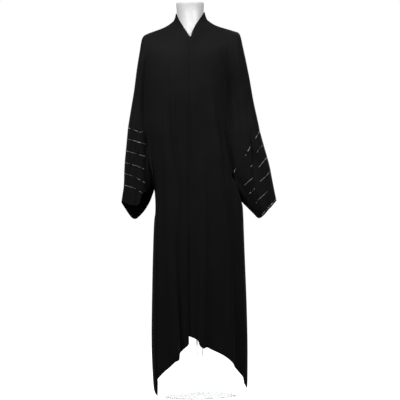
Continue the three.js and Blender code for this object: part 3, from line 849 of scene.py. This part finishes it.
def set_in(path, sheet, inset):
    """A path moved in from a sheet's edge and laid on its face."""
    moved = []
    for i, (place, up) in enumerate(path):
        before = path[max(i - 1, 0)][0]
        after = path[min(i + 1, len(path) - 1)][0]
        side = up.cross((after - before).normalized()).normalized()
        tries = [sheet.find_nearest(place + side * inset * sign) for sign in (-1, 1)]
        spot, normal, _, _ = max(tries, key=lambda hit: (hit[0] - place).length)
        moved.append((spot, up if normal.dot(up) < SAME_SIDE else normal))
    return moved


def spaced(path, pitch):
    """Places, directions and normals at even steps along a path."""
    along = 0.0
    for (a, a_up), (b, b_up) in zip(path, path[1:]):
        span = (b - a).length
        if span < SHORTEST_STEP:
            continue
        while along <= span:
            t = along / span
            yield a.lerp(b, t), (b - a).normalized(), a_up.lerp(b_up, t).normalized()
            along += pitch
        along -= span


def frame_at(place, run, up):
    """Matrix that lays a shape's X along the run and its Z along the surface normal."""
    side = up.cross(run).normalized()
    up = run.cross(side).normalized()
    turn = Matrix((run, side, up)).transposed().to_4x4()
    return Matrix.Translation(place) @ turn


# Tests that pick out one edge of a piece by the place of its points

def left_seam(p):
    return p.z > LEFT_SEAM_Z


def left_cuff(p):
    x, z = LEFT_CUFF_CORNER
    return p.z < LEFT_CUFF_Z and (p.x < x or p.z < z)


def right_seam(p):
    x, z = RIGHT_SEAM_CORNER
    return p.z > z and p.x < x


def right_cuff(p):
    x, z = RIGHT_CUFF_CORNER
    return p.z < z and p.x > x


def lap_edge(p):
    x, z = LAP_EDGE_CORNER
    return p.x > x and p.z > z


def right_hem(p):
    x, z = RIGHT_HEM_CORNER
    return p.z < z and p.x > x and p.y < -HEM_FACE_Y


def left_hem(p):
    x, z = LEFT_HEM_CORNER
    return p.z < z and p.x > x and p.y < -HEM_FACE_Y


def back_hem(p):
    return p.z < BACK_HEM_Z and p.y > HEM_FACE_Y


def band_top(p):
    inside = (p - upright_middle(p)).length < BAND_TOP_RADIUS
    return p.z > BAND_TOP_Z and (p.y > BAND_BACK_Y or inside)


# Beads and stitches

def add_rod(bm, matrix, length, radius, segments):
    turned = matrix @ Matrix.Rotation(math.pi / 2, 4, "Y")
    bmesh.ops.create_cone(
        bm, cap_ends=True, segments=segments, radius1=radius, radius2=radius, depth=length, matrix=turned)


def add_seeds(bm, spot):
    """Two round beads side by side, in the place of a long one."""
    for share in (-SEED_SHIFT, SEED_SHIFT):
        shift = Matrix.Translation((share * BUGLE_LENGTH, 0, 0))
        bmesh.ops.create_icosphere(bm, subdivisions=1, radius=SEED_RADIUS, matrix=spot @ shift)


def lay_beads(bm, path, runs, rng):
    """Bugle beads with round ones among them, along a path's marked stretches and freely on the back."""
    pitch = BUGLE_LENGTH + BEAD_GAP
    remaining = rng.uniform(*BACK_RUN_LENGTH)
    for place, run, up in spaced(path, pitch):
        if up.y < 0.0:
            shown = any(low <= place.x <= high for low, high in runs)
        else:
            remaining -= pitch
            if remaining < -BACK_RUN_GAP - BACK_RUN_GAP * rng.random():
                remaining = rng.uniform(*BACK_RUN_LENGTH)
            shown = remaining > 0
        if not shown or rng.random() < MISSING_SHARE:
            continue
        spot = frame_at(place + up * (BUGLE_RADIUS * BUGLE_LIFT), run, up)
        if rng.random() < SEED_SHARE:
            add_seeds(bm, spot)
        else:
            lean = Matrix.Rotation(rng.uniform(-BUGLE_LEAN, BUGLE_LEAN), 4, "Z")
            length = BUGLE_LENGTH * rng.uniform(BUGLE_SHORTEST, 1.0)
            add_rod(bm, spot @ lean, length, BUGLE_RADIUS, BUGLE_SIDES)


def lay_stitches(bm, path):
    """A row of short straight stitches along a path."""
    for place, run, up in spaced(path, STITCH_PITCH):
        spot = frame_at(place + up * THREAD_RADIUS * THREAD_LIFT, run, up)
        add_rod(bm, spot, STITCH_LENGTH, THREAD_RADIUS, THREAD_SIDES)


def trim_piece(name, bm, material):
    """A piece of small parts sewn on the cloth."""
    obj = make_object(name, bm, material)
    lay_out(obj, upright_middle)
    shade_smooth(obj)
    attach(obj, "root")
    return obj


def bead_piece(name, node, field, levels, runs, seam, cuff):
    """Lines of beads along a sleeve's upper seam, across it and, where one is given, along its cuff."""
    rng = random.Random(BEAD_SEED + len(node))
    sheet = open_face(node)
    tree = BVHTree.FromBMesh(sheet)
    paths = [set_in(border(sheet, seam), tree, SEAM_BEADS_IN)]
    paths += [contour(sheet, field, level) for level in levels]
    if cuff:
        paths.append(set_in(border(sheet, cuff), tree, CUFF_BEADS_IN))
    sheet.free()
    bm = bmesh.new()
    for path, stretches in zip(paths, runs):
        lay_beads(bm, path, stretches, rng)
    return trim_piece(name, bm, SILVER)


def sewing(name, node, rows):
    """Rows of stitches on a piece of cloth, each along an edge and some way in from it."""
    sheet = open_face(node)
    tree = BVHTree.FromBMesh(sheet)
    bm = bmesh.new()
    for test, inset in rows:
        lay_stitches(bm, set_in(border(sheet, test), tree, inset))
    sheet.free()
    return trim_piece(name, bm, THREAD_AND_RIM_SHADE)


# Lines of beads lie where these heights are level

def left_field(p):
    low = ease((LEFT_DROOP_TOP - p.z) / LEFT_DROOP_HEIGHT)
    return p.z + LEFT_SLOPE * p.x + LEFT_DROOP * low * max(0.0, p.x - LEFT_DROOP_X)


def right_field(p):
    step = RIGHT_STEP + RIGHT_STEP_GROWTH * max(0.0, p.z - RIGHT_STEP_FOOT)
    return p.z - RIGHT_SLOPE * p.x - step * ease((p.x - RIGHT_STEP_X) / RIGHT_STEP_WIDTH)


beads_left = bead_piece(
    "sleeve_beads_left", "sleeve_left", left_field, LEFT_LINES, LEFT_RUNS, left_seam, None)
beads_right = bead_piece(
    "sleeve_beads_right", "sleeve_right", right_field, RIGHT_LINES, RIGHT_RUNS, right_seam, right_cuff)

sewn_right = sewing("stitches_front_right", "front_right", [
    (lap_edge, EDGE_STITCHES_IN),
    (right_hem, HEM_STITCHES_IN),
])
sewn_left = sewing("stitches_front_left", "front_left", [(left_hem, HEM_STITCHES_IN)])
sewn_back = sewing("stitches_back", "back", [(back_hem, HEM_STITCHES_IN)])
sewn_band = sewing("stitches_neck_band", "neck_band", [(band_top, BAND_STITCHES_IN)])
sewn_cuffs = [
    sewing(f"stitches_cuff_{side}", f"sleeve_{side}", [(cuff, CUFF_STITCHES_IN)])
    for side, cuff in (("left", left_cuff), ("right", right_cuff))
]


# Stand: its solids as they are, in clear acrylic
for node in ("stand_pole", "stand_base"):
    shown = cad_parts[node]
    shown.data.materials.clear()
    shown.data.materials.append(STAND_CLEAR)


# White room, floor, lights and camera

def white_room():
    """White all round, bright where it is seen and dimmer as a light on the object."""
    room = bpy.data.worlds.new("studio")
    room.use_nodes = True
    tree = room.node_tree
    background = tree.nodes["Background"]
    seen = tree.nodes.new("ShaderNodeLightPath")
    directly = math_node(
        tree, "MAXIMUM", seen.outputs["Is Camera Ray"], seen.outputs["Is Transmission Ray"])
    background.inputs["Color"].default_value = (1, 1, 1, 1)
    feed(tree, background.inputs["Strength"], value_between(tree, directly, ROOM_LIGHT, BACKDROP_LIGHT))
    return room


def pale_floor():
    bm = bmesh.new()
    bmesh.ops.create_grid(bm, x_segments=1, y_segments=1, size=FLOOR_SIZE)
    material, _, shader = new_material("pale_floor")
    shader.inputs["Base Color"].default_value = (0.96, 0.96, 0.96, 1)
    shader.inputs["Roughness"].default_value = 0.9
    shader.inputs["Emission Color"].default_value = (1, 1, 1, 1)
    shader.inputs["Emission Strength"].default_value = FLOOR_GLOW
    obj = make_object("floor", bm, material)
    obj.visible_diffuse = False
    obj.visible_glossy = False
    return obj


def area_light(name, place, target, size, power):
    light = bpy.data.lights.new(name, "AREA")
    light.shape = "RECTANGLE"
    light.size, light.size_y = size
    light.energy = power
    obj = bpy.data.objects.new(name, light)
    obj.location = place
    obj.rotation_euler = (Vector(target) - Vector(place)).to_track_quat("-Z", "Y").to_euler()
    scene.collection.objects.link(obj)


def photo_camera():
    """Camera that frames the object as the photograph does, with its slight roll."""
    lens = bpy.data.cameras.new("camera")
    lens.sensor_fit = "HORIZONTAL"
    lens.sensor_width = SENSOR_WIDTH
    lens.lens = lens.sensor_width * CAMERA_DISTANCE / FRAME_WIDTH
    lens.clip_end = CAMERA_REACH
    obj = bpy.data.objects.new("camera", lens)
    eye = Vector((AIM_X, -CAMERA_DISTANCE, CAMERA_HEIGHT))
    look = (Vector((AIM_X, 0, AIM_Z)) - eye).to_track_quat("-Z", "Y").to_matrix().to_4x4()
    obj.matrix_world = Matrix.Translation(eye) @ look @ Matrix.Rotation(-PHOTO_ROLL, 4, "Z")
    scene.collection.objects.link(obj)
    return obj


scene = bpy.context.scene
scene.view_settings.view_transform = "Standard"
scene.world = white_room()
floor = pale_floor()
for light_row in LIGHTS:
    area_light(*light_row)
scene.camera = photo_camera()
